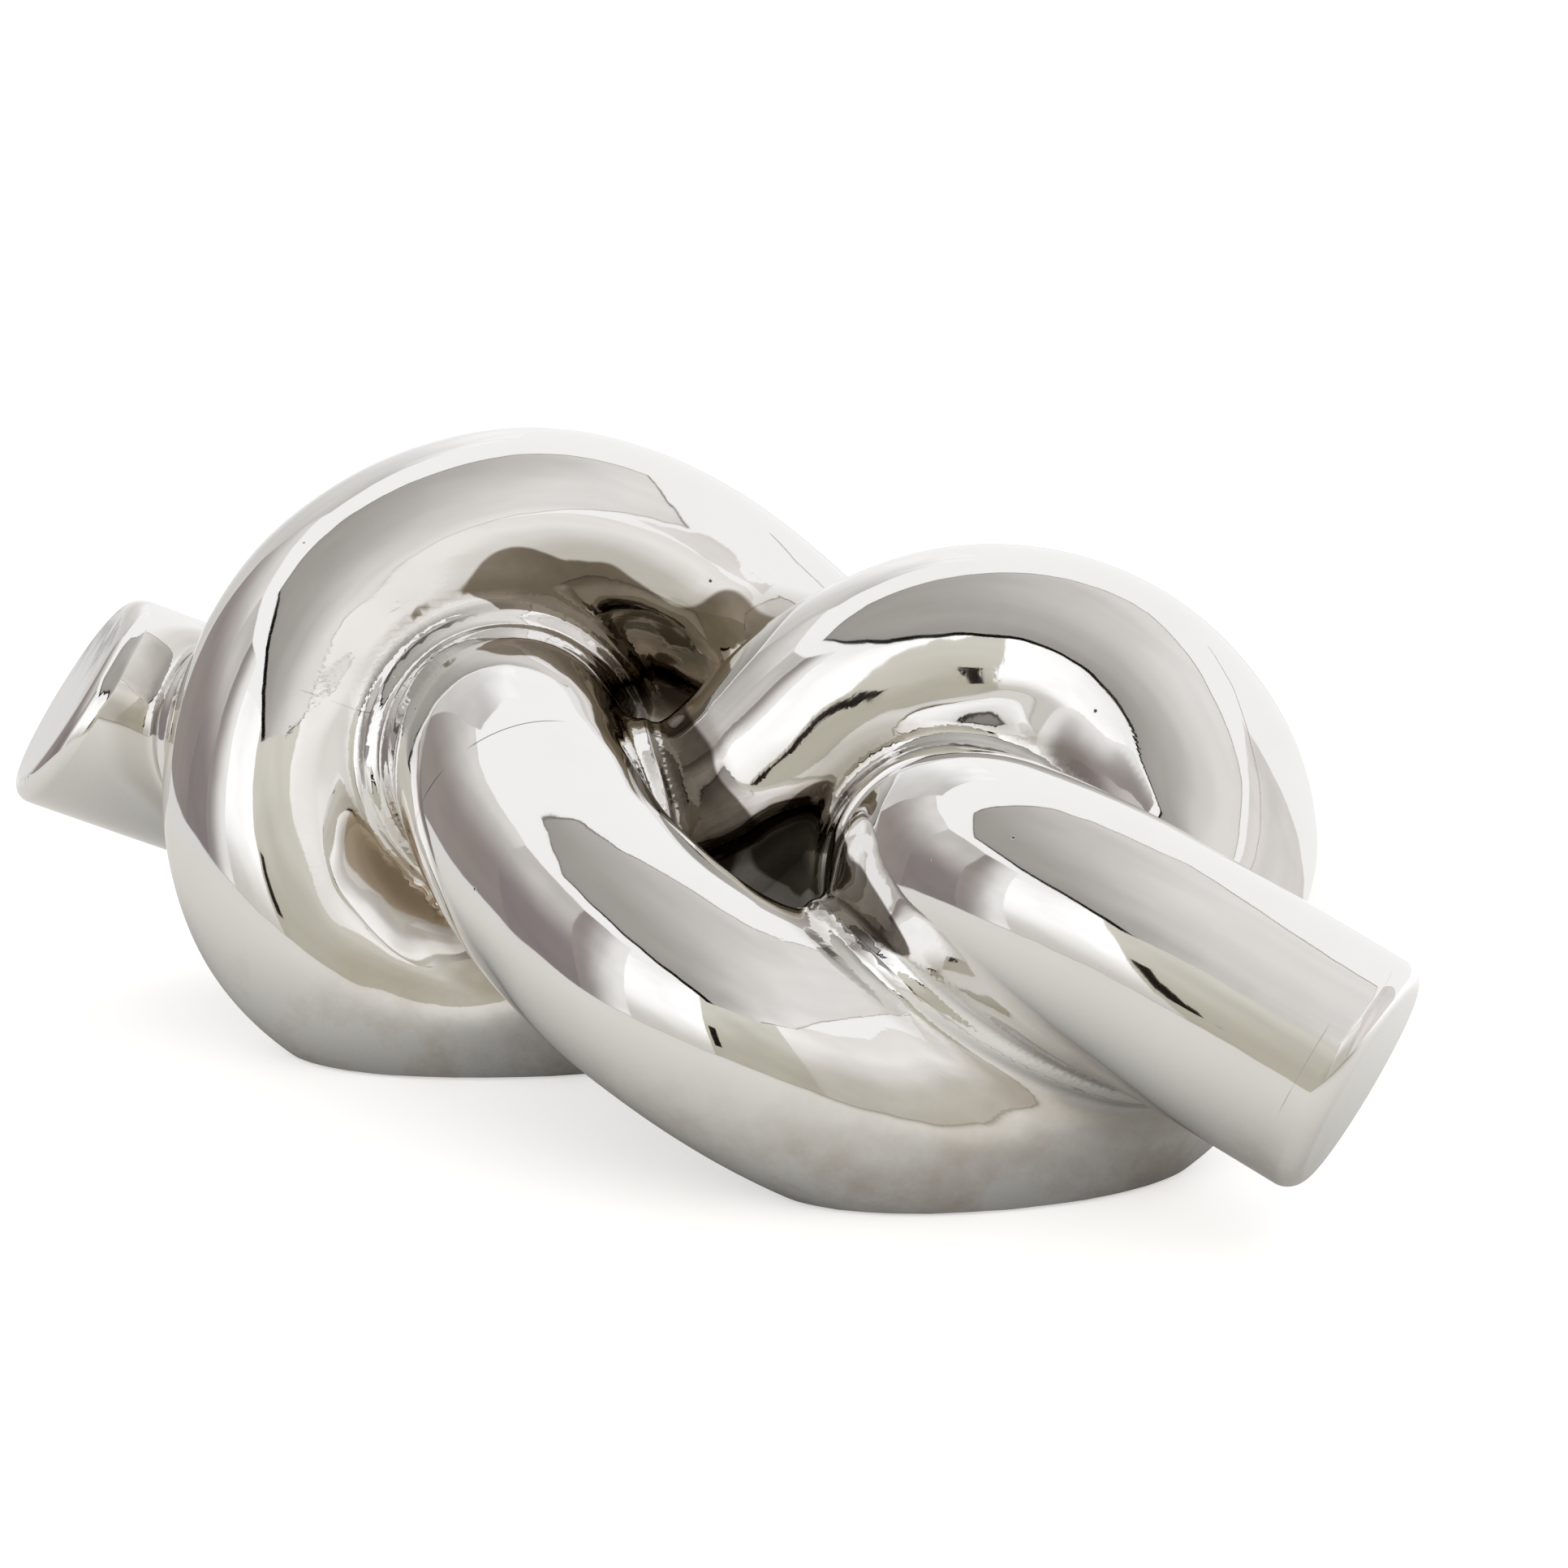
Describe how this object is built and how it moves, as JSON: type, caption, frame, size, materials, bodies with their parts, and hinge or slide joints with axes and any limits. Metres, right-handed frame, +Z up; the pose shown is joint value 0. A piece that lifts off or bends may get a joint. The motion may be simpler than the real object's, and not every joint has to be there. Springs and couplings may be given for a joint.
{
  "type": "ceramic knot sculpture",
  "caption": "Figure-eight knot tied from a thick hollow ceramic tube, glazed mirror silver, lying on flats cut into its underside.",
  "frame": {"origin": "on the table, under the middle of the knot's outer box", "axes": "+X along the knot from its left end to its right end, +Y from front to back, +Z up"},
  "size_m": [0.3032, 0.1485, 0.1091],
  "materials": {
    "silver_glaze": "mirror-bright silver lustre fired over a clear glaze"
  },
  "bodies": {
    "root": {"left_end_disc": "silver_glaze", "left_end_tube": "silver_glaze", "left_tuck": "silver_glaze", "middle_strand": "silver_glaze", "right_loop": "silver_glaze", "left_foot": "silver_glaze", "left_loop": "silver_glaze", "inner_rise": "silver_glaze", "right_end_tube": "silver_glaze", "right_end_disc": "silver_glaze"}
  },
  "joints": []
}
